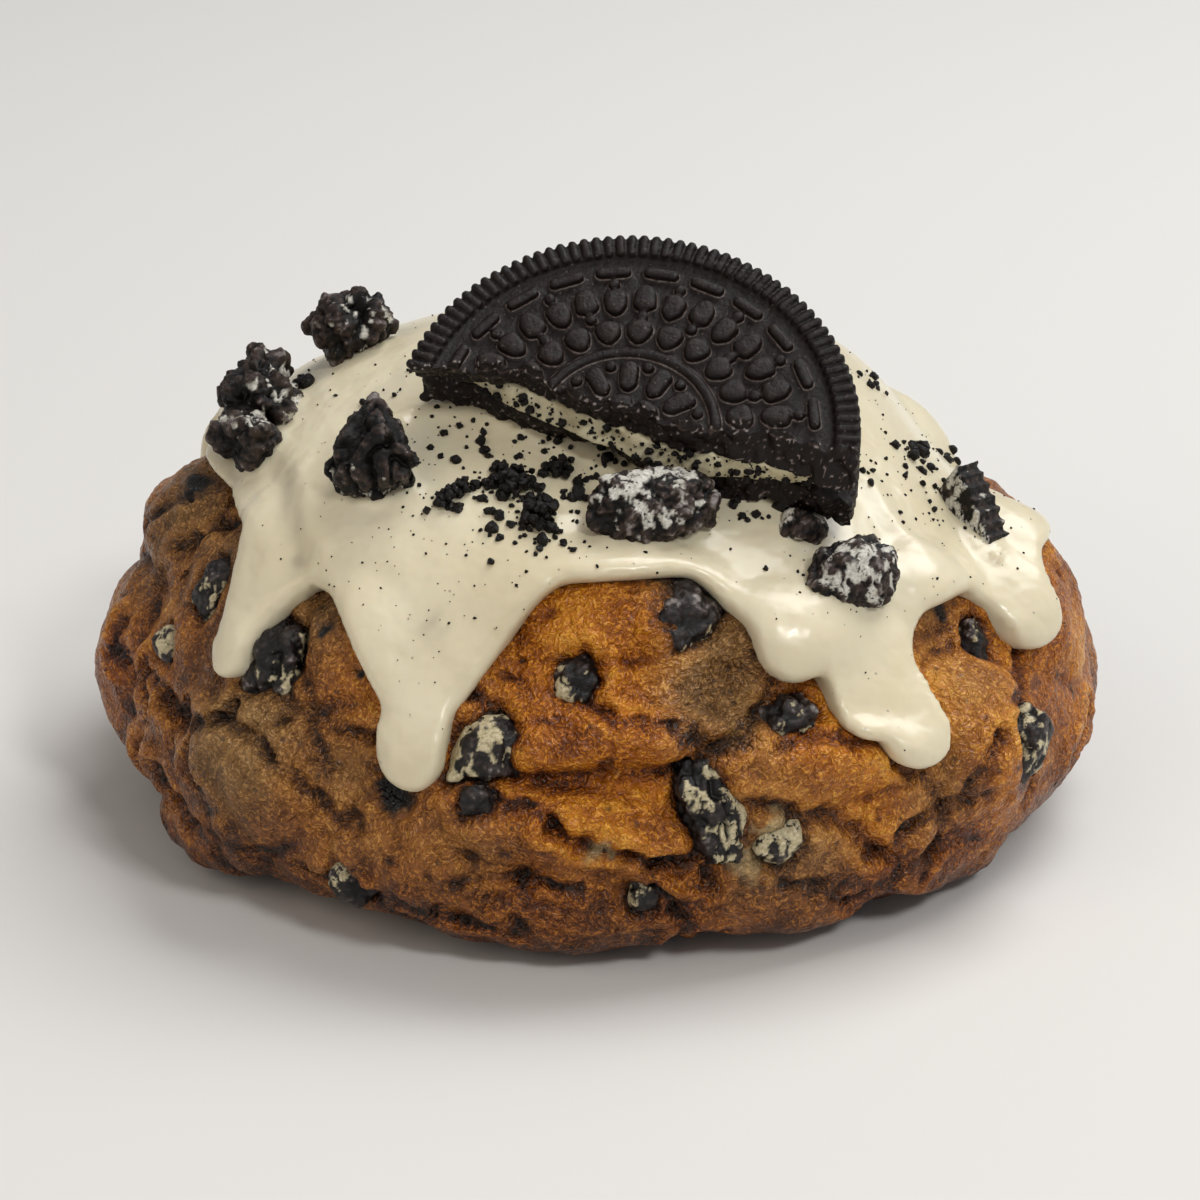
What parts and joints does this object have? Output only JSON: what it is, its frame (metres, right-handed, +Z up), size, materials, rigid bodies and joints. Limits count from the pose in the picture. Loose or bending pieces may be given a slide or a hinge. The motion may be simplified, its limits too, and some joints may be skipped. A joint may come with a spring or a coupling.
{
  "type": "cookies and cream cookie",
  "caption": "Thick domed cookie with dark biscuit pieces baked in, dripping white icing, and half a sandwich biscuit with broken pieces and crumbs on top.",
  "frame": {"origin": "middle of the cookie's footprint box, on the surface it rests on", "axes": "+X across the cookie to the right of the half biscuit's lower corner, -Y towards the side the half biscuit faces, +Z up"},
  "size_m": [0.1044, 0.1008, 0.0618],
  "materials": {
    "dough": "baked dough, golden to dark brown, slightly oily",
    "icing": "poured white icing, ivory, glossy",
    "wafer": "dark baked biscuit, satin",
    "cream": "dry sugar cream, matt",
    "topping_chunk": "broken dark biscuit with cream smears, rough",
    "baked_chunk": "baked-in dark biscuit with cream smears, rough"
  },
  "bodies": {
    "root": {"dough": "dough", "icing": "icing", "biscuit_upper_wafer": "wafer", "biscuit_cream": "cream", "biscuit_lower_wafer": "wafer", "topping_chunk_1": "topping_chunk", "topping_chunk_2": "topping_chunk", "topping_chunk_3": "topping_chunk", "topping_chunk_4": "topping_chunk", "topping_chunk_5": "topping_chunk", "topping_chunk_6": "topping_chunk", "topping_chunk_7": "topping_chunk", "topping_rim_piece": "topping_chunk", "dough_chunk_01": "baked_chunk", "dough_chunk_02": "baked_chunk", "dough_chunk_03": "baked_chunk", "dough_chunk_04": "baked_chunk", "dough_chunk_05": "baked_chunk", "dough_chunk_06": "baked_chunk", "dough_chunk_07": "baked_chunk", "dough_chunk_08": "baked_chunk", "dough_chunk_09": "baked_chunk", "dough_chunk_10": "baked_chunk", "dough_chunk_11": "baked_chunk", "dough_chunk_12": "baked_chunk", "dough_chunk_13": "baked_chunk", "dough_chunk_14": "baked_chunk", "dough_chunk_15": "baked_chunk", "dough_chunk_16": "baked_chunk", "dough_chunk_17": "baked_chunk", "dough_chunk_18": "baked_chunk", "dough_chunk_19": "baked_chunk", "dough_chunk_20": "baked_chunk", "dough_chunk_21": "baked_chunk", "dough_chunk_22": "baked_chunk"}
  },
  "joints": []
}
